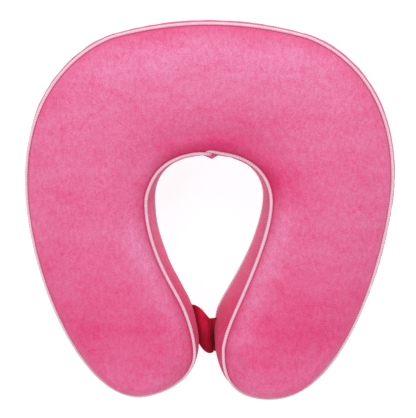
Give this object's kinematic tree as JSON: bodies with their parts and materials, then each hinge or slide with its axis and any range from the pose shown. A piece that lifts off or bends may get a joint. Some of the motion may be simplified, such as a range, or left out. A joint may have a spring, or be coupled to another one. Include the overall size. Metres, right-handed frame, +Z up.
{
  "type": "u shaped travel neck pillow",
  "caption": "U-shaped foam travel neck pillow in a zipped velour cover with piped seams, a boxed side band and a padded front strap that closes across the gap between the arm tips.",
  "frame": {"origin": "centre of the bounding box of the footprint, on the surface the pillow lies on", "axes": "+Z up through the pillow's thickness, +Y towards the back of the neck where the zip is, -Y towards the open arm tips, +X to the right when looking from the arm tips to the back"},
  "size_m": [0.3195, 0.3269, 0.0924],
  "materials": {
    "velour": "short pile velour with soft sheen",
    "piping_satin": "bias cut satin twill",
    "piping_cord": "twisted cotton cord",
    "strap_velour": "smooth short pile",
    "foam": "open cell viscoelastic foam",
    "liner_knit": "thin jersey knit",
    "zip_tape": "woven herringbone tape",
    "zip_coil": "satin nylon coil",
    "zip_metal": "nickel plated",
    "hook_tape": "hook tape",
    "loop_tape": "napped loop tape"
  },
  "bodies": {
    "pillow": {"foam_core": "foam", "foam_liner": "liner_knit", "top_panel": "velour", "bottom_panel": "velour", "side_band": "velour", "zip_band_upper": "velour", "zip_band_lower": "velour", "top_piping": "piping_satin", "top_piping_cord": "piping_cord", "bottom_piping": "piping_satin", "bottom_piping_cord": "piping_cord", "zip_tape_upper": "zip_tape", "zip_tape_lower": "zip_tape", "zip_coil_upper": "zip_coil", "zip_coil_lower": "zip_coil", "zip_stops": "zip_metal", "strap_sewn_end": "strap_velour", "fastening_tab": "strap_velour", "loop_patch": "loop_tape"},
    "slider": {"zip_slider": "zip_metal"},
    "pull": {"zip_pull": "zip_metal"},
    "strap": {"strap": "strap_velour", "hook_patch": "hook_tape"}
  },
  "joints": [
    {"name": "zip_travel", "type": "hinge", "parent": "pillow", "child": "slider", "pos_m": [0, -0.143, 0.03], "axis": [0, 0, 1], "range_deg": [0, 24.8]},
    {"name": "pull_flip", "type": "hinge", "parent": "slider", "child": "pull", "pos_m": [0.06639, 0.15895, 0.03], "axis": [0, 0, 1], "range_deg": [0, 165]},
    {"name": "strap_lift", "type": "hinge", "parent": "pillow", "child": "strap", "pos_m": [-0.0112, -0.10325, 0.037], "axis": [0.1622, -0.9868, 0], "range_deg": [0, 75]}
  ]
}
